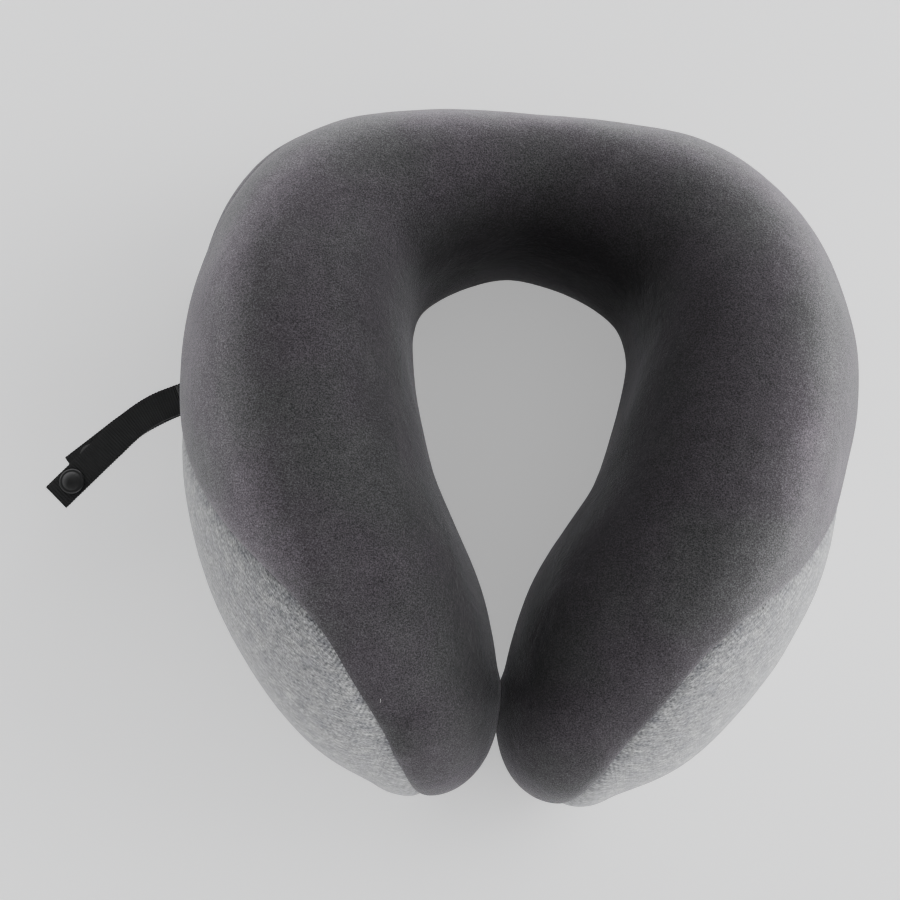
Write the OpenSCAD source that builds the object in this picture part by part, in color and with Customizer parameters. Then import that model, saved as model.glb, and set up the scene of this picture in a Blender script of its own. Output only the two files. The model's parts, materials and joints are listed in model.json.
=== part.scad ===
// U-shaped memory foam neck pillow: a foam core in a liner, a zipped cover sewn from a velour top,
// two jersey side panels, a rear panel and a flat base panel, and a two-tail webbing strap with a snap.
// Millimetres. The origin is on the surface that the pillow stands on, at the centre of the neck opening.
// +Y points to the closed back of the U, -Y to the gap between its two tips, and +Z is up.

/* [Centreline of the right arm, x and y] */
// Back of the U
back_at = [0, 82.5]; // [0:0.5:120]
// Rear corner
corner_at = [66.5, 63.5]; // [0:0.5:120]
// Side, where the pillow is widest
side_at = [92, 15]; // [0:0.5:120]
// Front of the arm, where it turns inwards
arm_at = [81.3, -60]; // [-120:0.1:120]
// Fore part of the arm
fore_at = [53.7, -112]; // [-140:0.1:120]
// Centre of the round tip
tip_at = [31.6, -145.2]; // [-160:0.1:120]

/* [Cross-section, from the back to the tip] */
// Half widths at the six centreline points
half_widths = [32, 42.2, 47.2, 50, 48.4, 31.1]; // [25:0.1:60]
// Heights at the six centreline points
heights = [95, 106, 120, 120, 109, 88]; // [70:1:140]
// Height of the widest level, as a share of the height
belly = 0.42; // [0.3:0.01:0.6]
// Squareness of the crown: 2 is an ellipse
crown = 2.2; // [2:0.1:3]
// Slope angle at which the wall meets the flat base
base_angle = 50; // [40:1:65]

/* [Layers] */
// Thickness of the cover fabric
cover_t = 1.5; // [0.8:0.1:2.5]
// Depth of the liner's outer face below the cover's outer face
liner_inset = 5.5; // [3:0.1:6]
// Thickness of the liner fabric
liner_t = 0.8; // [0.4:0.1:1.2]
// Depth of the foam below the cover's outer face
foam_inset = 6.5; // [4:0.1:7]

/* [Seams, as slope angles on the wall] */
// Top of the rear panel, at the back of the U
rear_top = 22; // [10:1:40]
// Joint of the rear panel and a side panel
joint_angle = -18; // [-30:1:0]
// Hem of the rear panel above the zip
zip_hem = -29; // [-32:1:-20]

/* [Zip] */
// Centre of the zip's arc behind the neck opening
zip_centre_y = -116; // [-140:1:-90]
// Radius of the zip's arc
zip_r = 224; // [210:0.5:240]
// Height of the middle of the zip
zip_z = 8.6; // [8:0.1:12]
// Lean of the zip with the wall
zip_lean = 24; // [0:1:30]
// Half the angle that the zip covers
zip_half = 21; // [10:0.5:22]
// Width of the closed zip
zip_w = 12; // [10:0.5:13]

/* [Strap] */
// Width of the webbing
strap_w = 13; // [10:0.5:16]
// Thickness of the webbing
strap_t = 1.4; // [1:0.1:2]
// Place of the strap's sewn root on the left wall
root_at = [-140.2, -13.3]; // [-150:0.1:0]
// Height of the root of the upper tail
root_z = 25.6; // [20:0.1:30]
// Angle below -X at which the tails leave the wall
root_heading = 24; // [0:1:40]
// Length of the upper tail along its middle
upper_len = 68; // [60:1:90]
// Length of the lower tail along its middle
lower_len = 55; // [50:1:80]
// Sideways turn of the upper tail
upper_turn = 24; // [10:1:35]
// Sideways turn of the lower tail
lower_turn = 16; // [5:1:30]
// Droop of the upper tail
upper_droop = 8; // [4:1:12]
// Droop of the lower tail
lower_droop = 12; // [8:1:16]
// Diameter of the snap's caps
cap_d = 10.7; // [9:0.1:12]
// Distance of a snap from the end of its tail
snap_back = 9.6; // [7:0.1:12]

/* [Hidden] */

velour = [0.25, 0.24, 0.25];
jersey = [0.62, 0.62, 0.62];
webbing = [0.09, 0.09, 0.1];
plastic = [0.07, 0.07, 0.08];
foam = [0.93, 0.89, 0.78];
undyed = [0.9, 0.9, 0.88];
stop_metal = [0.3, 0.3, 0.32];
metal = [0.2, 0.2, 0.22];

// Ring places run round one arm: 0 to 5 outside from back to tip, 5 to 7 round the tip, 7 to 12 inside
last = 5;
turn_end = 7;
ring_end = 12;
step = 0.25;
skirt = 3.5 - base_angle;
crown_angles = [18, 34, 48, 60, 72, 82];
wall_angles = concat([-base_angle, -34, -17, 0], crown_angles);
junction = 2.25;
leaf_end = 5.75;
seam_gap = 0.6;

// Top seam of a side panel: ring place and slope angle
side_seam_points = [[junction, joint_angle], [2.78, 15], [3.1, 36.5], [3.5, 56], [4, 64.5], [4.5, 56],
    [4.8, 46], [5.15, 40], [5.42, 20], [leaf_end, -base_angle]];
// Top seam of the rear panel, from the back of the U
rear_seam_points = [[0, rear_top], [0.7, rear_top + 2], [1.2, 29], [1.45, 30], [1.65, 20], [1.85, 7],
    [2.05, -6], [junction, joint_angle]];

// Centreline rows of x, y, half width and height, with one guide row beyond each end
centreline = [back_at, corner_at, side_at, arm_at, fore_at, tip_at];
rows = [for (i = [0:5]) concat(centreline[i], [half_widths[i], heights[i]])];
before = [-rows[1][0], rows[1][1], rows[1][2], rows[1][3]];
guided = concat([before], rows, [2 * rows[5] - rows[4]]);

// Catmull-Rom curve through the rows, and its slope
function along(i, t) =
    let (a = guided[i], b = guided[i + 1], c = guided[i + 2], d = guided[i + 3])
    (2 * b + (c - a) * t + (2 * a - 5 * b + 4 * c - d) * t * t + (3 * b - a - 3 * c + d) * t * t * t) / 2;
function slope(i, t) =
    let (a = guided[i], b = guided[i + 1], c = guided[i + 2], d = guided[i + 3])
    ((c - a) + 2 * (2 * a - 5 * b + 4 * c - d) * t + 3 * (3 * b - a - 3 * c + d) * t * t) / 2;
function span(s) = min(floor(s), last - 1);
function station(s) = along(span(s), s - span(s));
function heading(s) =
    let (v = slope(span(s), s - span(s)))
    [v[0], v[1]] / norm([v[0], v[1]]);
function outward(s) = [-heading(s)[1], heading(s)[0]];
function station_of(u) = u <= last ? u : u < turn_end ? last : ring_end - u;
// Where the arm tapers, its wall leans towards the tip by the taper angle
function taper(s) =
    let (v = slope(span(s), s - span(s)))
    asin(-v[2] / norm([v[0], v[1]]));
function turned(s, a) = cos(a) * outward(s) + sin(a) * heading(s);
function lean(u) =
    u <= last ? taper(u)
    : u < turn_end ? taper(last) + (90 - taper(last)) * (u - last)
    : 180 - taper(ring_end - u);
function facing(u) = turned(station_of(u), lean(u));
// Rise of the ridge towards the tip, for each millimetre
function ridge_rise(s) =
    let (v = slope(span(s), s - span(s)))
    v[3] / norm([v[0], v[1]]);

// Point of the pillow's surface at ring place u and slope angle a, moved in by inset
function reach(a) =
    a >= 0 ? pow(cos(a), 2 / crown)
    : a >= -base_angle ? cos(a)
    : cos(base_angle) * (90 + a) / (90 - base_angle);
function level(a, waist, top, foot) =
    a >= 0 ? waist + (top - waist) * pow(sin(a), 2 / crown)
    : a >= -base_angle ? waist - (waist - foot) * sin(-a) / sin(base_angle)
    : foot;
function skin(u, a, inset, side = 1) =
    let (s = station_of(u), c = station(s), n = facing(u), r = (c[2] - inset) * reach(a),
        top = c[3] + ridge_rise(s) * r * sin(lean(u)) - inset)
    [side * (c[0] + n[0] * r), c[1] + n[1] * r, level(a, belly * c[3], top, inset)];
function ridge_point(s, inset, side) =
    let (c = station(s))
    [side * c[0], c[1], c[3] - inset];

// Seam heights
function rear_seam(u) = u > junction ? -90 : lookup(u, rear_seam_points);
function side_seam(u) = u < junction || u >= leaf_end ? -90 : lookup(u, side_seam_points);
function top_hem(u) = max(skirt, rear_seam(u) + seam_gap, side_seam(u) + seam_gap);
function rear_hem(u) = u <= 1 ? zip_hem : skirt;

// The closed ring of places: right arm out and back, then the left arm
ring = concat([for (u = [0:step:ring_end]) [u, 1]], [for (u = [ring_end - step:-step:step]) [u, -1]]);
ring_n = len(ring);
ridge = concat([for (s = [0:step:last]) [s, 1]], [for (s = [step:step:last]) [s, -1]]);
ridge_n = len(ridge);
function ridge_index(place) =
    let (s = station_of(place[0]) / step)
    place[1] > 0 || s == 0 ? s : last / step + s;

// Points of one skin of the whole ring, then its ridge; angles(u) gives the angles of a column
function ring_points(angles, inset, levels) = concat(
    [for (k = [0:levels - 1]) for (p = ring) skin(p[0], angles(p[0])[k], inset, p[1])],
    [for (p = ridge) ridge_point(p[0], inset, p[1])]);
function ring_faces(levels, start) = concat(
    [for (k = [0:levels - 2]) for (i = [0:ring_n - 1])
        let (j = (i + 1) % ring_n, a = start + k * ring_n + i, b = start + k * ring_n + j)
        each [[a, b, b + ring_n], [a, b + ring_n, a + ring_n]]],
    [for (i = [0:ring_n - 1])
        let (j = (i + 1) % ring_n, a = start + (levels - 1) * ring_n + i,
            b = start + (levels - 1) * ring_n + j, top = start + levels * ring_n,
            c = top + ridge_index(ring[j]), d = top + ridge_index(ring[i]))
        each (c == d ? [[a, b, c]] : [[a, b, c], [a, c, d]])]);
function flipped(faces) = [for (f = faces) [f[2], f[1], f[0]]];

// Flat underside of the ring: strips across each arm, and a fan across each tip
function ring_index(u, side) = (side > 0 ? u / step : ring_n - u / step) % ring_n;
function under_faces(side) =
    let (strips = [for (s = [0:step:last - step])
            let (a = ring_index(s, side), b = ring_index(s + step, side),
                c = ring_index(ring_end - s - step, side), d = ring_index(ring_end - s, side))
            each [[a, d, c], [a, c, b]]],
        fans = [for (u = [last + step:step:turn_end - step])
            [ring_index(last, side), ring_index(u + step, side), ring_index(u, side)]])
    side > 0 ? concat(strips, fans) : flipped(concat(strips, fans));

// Solid filling the pillow's shape at a depth below its surface
module filled_ring(inset) {
    levels = len(wall_angles);
    angles = function (u) wall_angles;
    polyhedron(ring_points(angles, inset, levels),
        concat(ring_faces(levels, 0), under_faces(1), under_faces(-1)));
}

// Fabric shell over the whole ring, open underneath
module ring_shell(angles, levels, outer_inset, thickness) {
    inner = levels * ring_n + ridge_n;
    rim = [for (i = [0:ring_n - 1])
        let (j = (i + 1) % ring_n)
        each [[j, i, inner + i], [j, inner + i, inner + j]]];
    polyhedron(
        concat(ring_points(angles, outer_inset, levels),
            ring_points(angles, outer_inset + thickness, levels)),
        concat(ring_faces(levels, 0), flipped(ring_faces(levels, inner)), rim));
}

// Fabric patch over the places us, from angle low(u) to high(u)
module patch(us, low, high, levels, side_of) {
    m = len(us);
    skins = [for (inset = [0, cover_t]) for (k = [0:levels]) for (q = us)
        let (u = abs(q), a = low(u) + max(high(u) - low(u), 1) * k / levels)
        skin(u, a, inset, side_of(q))];
    inner = m * (levels + 1);
    outside = [for (k = [0:levels - 1]) for (i = [0:m - 2])
        let (a = k * m + i)
        each [[a, a + 1, a + m + 1], [a, a + m + 1, a + m]]];
    inside = [for (f = flipped(outside)) [for (v = f) v + inner]];
    hem = [for (i = [0:m - 2])
        each [[i + 1, i, inner + i], [i + 1, inner + i, inner + i + 1]]];
    top = [for (i = [levels * m:levels * m + m - 2])
        each [[i, i + 1, inner + i + 1], [i, inner + i + 1, inner + i]]];
    ends = [for (k = [0:levels - 1])
        let (a = k * m, b = k * m + m - 1)
        each [[a, a + m, inner + a + m], [a, inner + a + m, inner + a],
            [b + m, b, inner + b], [b + m, inner + b, inner + b + m]]];
    polyhedron(skins, concat(outside, inside, hem, top, ends));
}

module foam_core() {
    color(foam) filled_ring(foam_inset);
}

// The liner's hem lies under the foam
liner_hem = -80;
module inner_liner() {
    angles = function (u) concat([liner_hem], wall_angles);
    color(undyed) ring_shell(angles, len(wall_angles) + 1, liner_inset, liner_t);
}

module cover_top_panel() {
    top = crown_angles[len(crown_angles) - 1];
    levels = 9;
    angles = function (u)
        let (hem = top_hem(u))
        [for (k = [0:levels - 1]) hem + (top - hem) * k / (levels - 1)];
    color(velour) ring_shell(angles, levels, 0, cover_t);
}

patch_levels = 5;
module side_panel() {
    patch([for (u = [junction:step:leaf_end]) u], function (u) skirt, function (u) side_seam(u),
        patch_levels, function (q) 1);
}

module cover_side_panel_left() {
    color(jersey) mirror([1, 0, 0]) side_panel();
}

module cover_side_panel_right() {
    color(jersey) side_panel();
}

module cover_rear_panel() {
    color(velour)
        patch([for (q = [-junction:step:junction]) q], function (u) rear_hem(u), function (u) rear_seam(u),
            patch_levels, function (q) q < 0 ? -1 : 1);
}

module cover_base_panel() {
    outline = [for (p = ring) let (v = skin(p[0], -base_angle, 0, p[1])) [v[0], v[1]]];
    color(velour) linear_extrude(cover_t) polygon(outline);
}

// Zip parts are drawn in the plane of a cut through the band: x outwards from the cloth, y up the band
module zip_arc(from, to) {
    translate([0, zip_centre_y, 0])
        rotate([0, 0, 90 - to])
            rotate_extrude(angle = to - from, $fn = 360)
                translate([zip_r, zip_z])
                    rotate(-zip_lean)
                        children();
}

module zip_block(at) {
    translate([0, zip_centre_y, 0])
        rotate([0, 0, -at])
            translate([0, zip_r, zip_z])
                rotate([-zip_lean, 0, 0])
                    children();
}

tape_t = 0.6;
coil_edge = 0.55;
coil_w = 1.35;
coil_t = 1.3;
coil_gap = 0.25;
tape_beyond = 0.8;
stop_half = 2.2;
stop_len = 2.2;
stop_lift = 0.1;
stop_beyond = 0.4;

module tape() {
    translate([-tape_t / 2, coil_edge + coil_gap])
        square([tape_t, zip_w / 2 - coil_edge - coil_gap]);
}

module coil() {
    translate([tape_t / 2, coil_edge]) square([coil_t, coil_w]);
}

module zipper_tape_lower() {
    color(velour) zip_arc(-zip_half - tape_beyond, zip_half + tape_beyond) mirror([0, 1]) tape();
}

module zipper_tape_upper() {
    color(velour) zip_arc(-zip_half - tape_beyond, zip_half + tape_beyond) tape();
}

module zipper_coil_lower() {
    color(plastic) zip_arc(-zip_half, zip_half) mirror([0, 1]) coil();
}

module zipper_coil_upper() {
    color(plastic) zip_arc(-zip_half, zip_half) coil();
}

// A stop is a flat clip across both coils' ends
module zip_stop(at) {
    color(stop_metal)
        zip_block(at)
            translate([-stop_len / 2, tape_t / 2 + stop_lift, -stop_half])
                cube([stop_len, coil_t + 0.4, 2 * stop_half]);
}

module zipper_stop_left() {
    zip_stop(-zip_half - stop_beyond);
}

module zipper_stop_right() {
    zip_stop(zip_half + stop_beyond);
}

// The slider waits at the right end; local x runs along the zip, y out of the cloth, z up the band
slider_at = 19;
slider_len = 9;
slider_w = 6.8;
plate_t = 0.8;
front_y = 2;
back_y = -1.5;
pin_y = 4.7;
pin_r = 0.6;
pin_gap = 0.06;
eye_r = 1.5;
eye_half = 1.3;
lug_gap = 0.4;
lug_t = 0.8;
lug_len = 2.6;
wedge_len = 2.5;
wedge_t = 0.4;
lip_t = 0.8;
lip_h = 1.3;

module zipper_slider() {
    color(metal)
        zip_block(slider_at) {
            translate([-slider_len / 2, front_y, -slider_w / 2])
                cube([slider_len, plate_t, slider_w]);
            translate([-slider_len / 2, back_y, -slider_w / 2])
                cube([slider_len, plate_t, slider_w]);
            translate([-slider_len / 2, back_y, -wedge_t / 2])
                cube([wedge_len, front_y - back_y + 0.1, wedge_t]);
            for (s = [-1, 1]) {
                translate([-slider_len / 2, front_y + 0.1 - lip_h, s * (slider_w - lip_t) / 2 - lip_t / 2])
                    cube([slider_len, lip_h, lip_t]);
                translate([-lug_len / 2, front_y + 0.5, s * (eye_half + lug_gap + lug_t / 2) - lug_t / 2])
                    cube([lug_len, pin_y - front_y + 0.6, lug_t]);
            }
            translate([0, pin_y, -eye_half - lug_gap - lug_t])
                cylinder(r = pin_r, h = 2 * (eye_half + lug_gap + lug_t), $fn = 48);
        }
}

pull_len = 19;
pull_w = 4.6;
pull_t = 1.1;
pull_neck = 5;
pull_hole_r = 1.1;

module zipper_pull() {
    color(metal)
        zip_block(slider_at)
            translate([0, pin_y, 0])
                difference() {
                    union() {
                        translate([0, 0, -eye_half])
                            cylinder(r = eye_r, h = 2 * eye_half, $fn = 48);
                        translate([0, -pull_t / 2, -eye_half])
                            cube([pull_neck + 1, pull_t, 2 * eye_half]);
                        translate([pull_neck, -pull_t / 2, -pull_w / 2])
                            cube([pull_len - pull_neck - pull_w / 2, pull_t, pull_w]);
                        translate([pull_len - pull_w / 2, pull_t / 2, 0])
                            rotate([90, 0, 0])
                                cylinder(r = pull_w / 2, h = pull_t, $fn = 64);
                    }
                    translate([0, 0, -eye_half - 1])
                        cylinder(r = pin_r + pin_gap, h = 2 * eye_half + 2, $fn = 48);
                    translate([pull_len - pull_w / 2, pull_t, 0])
                        rotate([90, 0, 0])
                            cylinder(r = pull_hole_r, h = 2 * pull_t, $fn = 48);
                }
}

// Blank woven label, sewn into the base seam beside the zip
label_place = 1.6;
label_w = 18;
label_len = 16;
label_t = 0.6;
label_z = 3.2;
label_lift = 14;
label_tuck = 0.4;
label_rise = 5;
module care_label() {
    at = skin(label_place, -base_angle + label_rise, 0, -1);
    n = facing(label_place);
    color(undyed)
        translate([at[0] - n[0] * label_tuck, at[1] + n[1] * label_tuck, label_z])
            rotate([0, 0, atan2(n[0], n[1])])
                rotate([label_lift, 0, 0])
                    translate([-label_w / 2, 0, -label_t / 2])
                        cube([label_w, label_len, label_t]);
}

// Local frame of the strap's root: x along the tails, y across them, z up
module at_root(z) {
    translate([root_at[0], root_at[1], z]) rotate([0, 0, 180 + root_heading]) children();
}

root_gap = 1.2;
straight = 4;
bend = 26;
anchor_near = 5.7;
anchor_far = 1.4;
tail_gap = 0.6;
lower_root_z = root_z - strap_t - tail_gap;

// The two sewn-in ends, folded together and bar-tacked to the joint of the panels; its root follows the wall
module strap_anchor() {
    color(webbing)
        at_root(lower_root_z)
            translate([0, 0, -strap_t / 2])
                linear_extrude(2 * strap_t + tail_gap)
                    polygon([[-anchor_near, -strap_w / 2], [0, -strap_w / 2], [0, strap_w / 2],
                        [-anchor_far, strap_w / 2]]);
}

// A tail lies flat, runs straight, turns sideways on an arc and runs straight to its end
function bent(d, turn) = turn * min(max((d - straight) / bend, 0), 1);
function middle(d, turn) =
    let (radius = bend / turn * 180 / PI, a = bent(d, turn), rest = max(d - straight - bend, 0))
    [min(d, straight) + radius * sin(a) + rest * cos(a), radius * (1 - cos(a)) + rest * sin(a)];
function edge_point(d, turn, side) =
    let (a = bent(d, turn))
    middle(d, turn) + side * strap_w / 2 * [-sin(a), cos(a)];

module tail(len, turn, hole_r) {
    ways = concat([root_gap], [for (k = [0:12]) straight + bend * k / 12], [len]);
    near = [for (d = ways) edge_point(d, turn, -1)];
    far = [for (k = [len(ways) - 1:-1:0]) edge_point(ways[k], turn, 1)];
    difference() {
        translate([0, 0, -strap_t / 2])
            linear_extrude(strap_t)
                polygon(concat(near, far));
        snap_place(len, turn)
            cylinder(r = hole_r, h = 3 * strap_t, center = true, $fn = 48);
    }
}

module snap_place(len, turn) {
    at = middle(len - snap_back, turn);
    translate([at[0], at[1], 0]) rotate([0, 0, turn]) children();
}

module on_upper() {
    at_root(root_z) rotate([0, upper_droop, 0]) children();
}

module on_lower() {
    at_root(lower_root_z) rotate([0, lower_droop, 0]) children();
}

shank_r = 1.6;
hole_gap = 0.05;
face_gap = 0.05;
rim_h = 0.5;
dome_h = 1.5;
head_h = 1.2;
flange_d = 9.4;
flange_h = 0.7;
cup_d = 7.6;
cup_h = 2.5;
mouth_d = 4.6;
mouth_floor = 1.3;
stud_d = 4.2;
stud_h = 2.1;
bore_h = 3;

module strap_tail_upper() {
    color(webbing) on_upper() tail(upper_len, upper_turn, shank_r + hole_gap);
}

module strap_tail_lower() {
    color(webbing) on_lower() tail(lower_len, lower_turn, shank_r + hole_gap);
}

// Domed cap with the shank that passes through the webbing and is headed over in the other half
module snap_cap() {
    dome_r = (cap_d * cap_d / 4 + dome_h * dome_h) / (2 * dome_h);
    face = strap_t / 2 + face_gap;
    translate([0, 0, face])
        cylinder(d = cap_d, h = rim_h, $fn = 96);
    translate([0, 0, face + rim_h])
        intersection() {
            translate([0, 0, dome_h - dome_r]) sphere(r = dome_r, $fn = 96);
            cylinder(d = cap_d, h = dome_h, $fn = 96);
        }
    translate([0, 0, -strap_t / 2 - head_h])
        cylinder(r = shank_r, h = strap_t + head_h + 0.1, $fn = 48);
}

module snap_cap_upper() {
    color(plastic) on_upper() snap_place(upper_len, upper_turn) snap_cap();
}

module snap_cap_lower() {
    color(plastic) on_lower() snap_place(lower_len, lower_turn) mirror([0, 0, 1]) snap_cap();
}

// Socket half: a flanged cup that opens away from the webbing
module snap_socket() {
    color(plastic)
        on_upper()
            snap_place(upper_len, upper_turn)
                mirror([0, 0, 1])
                    translate([0, 0, strap_t / 2 + face_gap])
                        difference() {
                            union() {
                                cylinder(d = flange_d, h = flange_h, $fn = 96);
                                cylinder(d = cup_d, h = cup_h, $fn = 96);
                            }
                            translate([0, 0, -1]) cylinder(r = shank_r + hole_gap, h = bore_h, $fn = 48);
                            translate([0, 0, mouth_floor]) cylinder(d = mouth_d, h = cup_h, $fn = 64);
                        }
}

// Stud half: a flanged button that presses into the socket
module snap_stud() {
    color(plastic)
        on_lower()
            snap_place(lower_len, lower_turn)
                translate([0, 0, strap_t / 2 + face_gap])
                    difference() {
                        union() {
                            cylinder(d = flange_d, h = flange_h, $fn = 96);
                            cylinder(d = stud_d, h = stud_h, $fn = 64);
                        }
                        translate([0, 0, -1]) cylinder(r = shank_r + hole_gap, h = head_h + 1.1, $fn = 48);
                    }
}

foam_core();
inner_liner();
cover_top_panel();
cover_side_panel_left();
cover_side_panel_right();
cover_rear_panel();
cover_base_panel();
zipper_tape_lower();
zipper_tape_upper();
zipper_coil_lower();
zipper_coil_upper();
zipper_stop_left();
zipper_stop_right();
zipper_slider();
zipper_pull();
care_label();
strap_anchor();
strap_tail_upper();
strap_tail_lower();
snap_cap_upper();
snap_socket();
snap_cap_lower();
snap_stud();
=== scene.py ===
"""The looks of a U-shaped neck pillow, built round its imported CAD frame. Lengths are in metres."""

import json
import math

import bmesh
import bpy
import numpy as np
from mathutils import Matrix, Vector, noise
from mathutils.bvhtree import BVHTree
from mathutils.kdtree import KDTree


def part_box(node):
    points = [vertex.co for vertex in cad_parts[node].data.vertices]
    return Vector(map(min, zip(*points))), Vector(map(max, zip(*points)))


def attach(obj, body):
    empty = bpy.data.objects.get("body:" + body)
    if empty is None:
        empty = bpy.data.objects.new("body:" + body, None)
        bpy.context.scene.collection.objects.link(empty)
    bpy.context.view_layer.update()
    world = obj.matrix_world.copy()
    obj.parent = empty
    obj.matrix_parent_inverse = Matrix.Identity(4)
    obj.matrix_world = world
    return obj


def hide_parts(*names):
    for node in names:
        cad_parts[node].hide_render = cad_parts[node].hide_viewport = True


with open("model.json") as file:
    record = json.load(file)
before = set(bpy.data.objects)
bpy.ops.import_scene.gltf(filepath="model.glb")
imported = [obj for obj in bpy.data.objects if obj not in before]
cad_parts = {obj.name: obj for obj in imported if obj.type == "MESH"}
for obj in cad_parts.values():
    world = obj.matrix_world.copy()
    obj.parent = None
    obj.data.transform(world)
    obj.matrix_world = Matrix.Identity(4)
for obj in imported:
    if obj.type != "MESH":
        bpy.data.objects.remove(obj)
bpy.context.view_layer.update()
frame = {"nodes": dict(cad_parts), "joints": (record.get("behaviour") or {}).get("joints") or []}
rng = np.random.default_rng(11)

MM = 0.001
JOINT_AT = {joint["name"]: Vector(joint["pos_m"]) for joint in frame["joints"]}

# ---------------------------------------------------------------- driving dimensions

# Centreline of the right arm from the back of the U to its tip: x, y, half width, height, in millimetres
ROWS = np.array([
    [0.0, 82.5, 32.0, 95.0],
    [66.5, 63.5, 42.2, 106.0],
    [92.0, 15.0, 47.2, 120.0],
    [81.3, -60.0, 50.0, 120.0],
    [53.7, -112.0, 48.4, 109.0],
    [31.6, -145.2, 31.1, 88.0],
])
# Share of the height where the wall is widest, and how square the crown is above it
BELLY, CROWN = 0.42, 2.2
# Slope angle at the base seam, how far that seam lies off the floor, and the lowest that the cover may come
SKIRT, SEAM_LIFT, LOWEST = math.radians(-50), 2.2 * MM, 0.1 * MM
COVER_T, FACING_T = 1.3 * MM, 0.8 * MM

# Ring places: 0 to 5 outside from back to tip, 5 to 7 round the tip, 7 to 12 inside from tip to back
LAST, TURN_END, RING_END = 5, 7, 12
PER_PLACE = 32
JUNCTION, LEAF_END = 2.25, 5.75
ZIP_PLACE, ZIP_FADE = 1.0, 1.25
# Top seams of a side panel and of the rear panel: ring place and slope angle in degrees
SIDE_SEAM = np.array([
    [2.25, -18], [2.78, 15], [3.1, 36.5], [3.5, 56], [4, 64.5], [4.5, 56], [4.8, 46], [5.15, 40], [5.42, 20],
    [5.75, -50],
])
REAR_SEAM = np.array([
    [0, 22], [0.7, 24], [1.2, 29], [1.45, 30], [1.65, 20], [1.85, 7], [2.05, -6], [2.25, -18],
])
JOINT_ANGLE, ZIP_HEM = math.radians(-18), math.radians(-29)

# Distances of the rows of points next to a seam
NEAR_SEAM = np.array([0, 0.7, 1.5, 2.5, 3.8, 5.4, 7.4, 9.8]) * MM

# The zip follows an arc round its slider's joint, and its band leans by this angle
ZIP_CENTRE_Y, ZIP_Z = JOINT_AT["zip_travel"][1:]
ZIP_R, ZIP_LEAN = 224 * MM, math.radians(24)
ZIP_HALF = math.radians(21)
# How far the facing behind the zip is set back from the cover's surface
FACING_BACK = 1.3 * MM

STRAP_W, STRAP_T = 13 * MM, 1.4 * MM
STRAP_ROOT, LOWER_ROOT = JOINT_AT["upper_tail_bend"], JOINT_AT["lower_tail_bend"]
STRAP_HEADING = math.radians(204)
# Each tail's length and its sideways turn in degrees; it runs straight, then bends, from just off its root
UPPER_TAIL, LOWER_TAIL = (68 * MM, 24), (55 * MM, 16)
TAIL_START, STRAIGHT, BEND = 1.2 * MM, 4 * MM, 26 * MM
# The sewn-in ends: the upper one meets its tail, the lower one stops short so that its tail can swing
UPPER_END, LOWER_END = 1.16 * MM, 0.84 * MM
RIB, TOOTH, EDGE_DROP = 1.26 * MM, 0.13 * MM, 0.16 * MM
# A snap's distance from its tail's end and its cap's radius; its seat over the webbing is in millimetres
SNAP_BACK, CAP_R = 9.6 * MM, 5.35 * MM
SEAT = STRAP_T / 2 / MM + 0.03

LABEL_PLACE = 1.6
# Each fibre of lint: its ring place, negative on the left arm, and slope angle in degrees
LINT_PLACES = [(8.4, 70), (11.6, 40), (-3.6, 80), (2.4, 62), (-4.5, 66)]

PANELS = ["cover_top", "cover_side_left", "cover_side_right", "cover_rear", "cover_base", "zip_band"]
TOP, SIDE_LEFT, SIDE_RIGHT, REAR, BASE, BAND = range(6)
COVER_NODES = ["cover_top_panel", "cover_side_panel_left", "cover_side_panel_right", "cover_rear_panel",
               "cover_base_panel"]


# ---------------------------------------------------------------- the pillow's surface

def centreline(s):
    """Rows and slopes of the smooth centreline at stations s, in millimetres."""
    guided = np.vstack([ROWS[1] * [-1, 1, 1, 1], ROWS, 2 * ROWS[5] - ROWS[4]])
    i = np.clip(np.floor(s).astype(int), 0, LAST - 1)
    t = (s - i)[:, None]
    a, b, c, d = (guided[i + k] for k in range(4))
    first, second, third = c - a, 2 * a - 5 * b + 4 * c - d, 3 * b - a - 3 * c + d
    return ((2 * b + first * t + second * t**2 + third * t**3) / 2,
            (first + 2 * second * t + 3 * third * t**2) / 2)


def facing(u):
    """The centreline row at ring places u, the way each wall faces, and how the ridge rises that way."""
    s = np.where(u <= LAST, u, np.where(u < TURN_END, LAST, RING_END - u))
    row, slope = centreline(s)
    run = np.hypot(slope[:, 0], slope[:, 1])
    ahead = slope[:, :2] / run[:, None]
    out = np.column_stack([-ahead[:, 1], ahead[:, 0]])
    lean = np.arcsin(-slope[:, 2] / run)
    turn = np.where(u <= LAST, lean,
                    np.where(u < TURN_END, lean + (math.pi / 2 - lean) * (u - LAST), math.pi - lean))
    return row, np.cos(turn)[:, None] * out + np.sin(turn)[:, None] * ahead, slope[:, 3] / run * np.sin(turn)


def skin(u, a, inset=0.0):
    """Points of the right arm's surface at ring places u and slope angles a, moved in by inset."""
    u, a = np.broadcast_arrays(np.asarray(u, float), np.asarray(a, float))
    row, wall, rise = facing(u.ravel())
    angle = a.ravel()
    row = row * MM
    waist = BELLY * row[:, 3]
    co, si = np.abs(np.cos(angle)), np.abs(np.sin(angle))
    above = angle >= 0
    reach = (row[:, 2] - inset) * np.where(above, co ** (2 / CROWN), co)
    high = row[:, 3] + rise * reach - inset
    z = np.where(above, waist + (high - waist) * si ** (2 / CROWN),
                 waist - (waist - SEAM_LIFT - inset) * si / math.sin(-SKIRT))
    points = np.column_stack([row[:, 0] + wall[:, 0] * reach, row[:, 1] + wall[:, 1] * reach, z])
    return points.reshape(u.shape + (3,))


def centre_points(s):
    """Points on the floor under the centreline."""
    row = centreline(s)[0] * MM
    return np.column_stack([row[:, 0], row[:, 1], np.zeros(len(s))])


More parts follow.
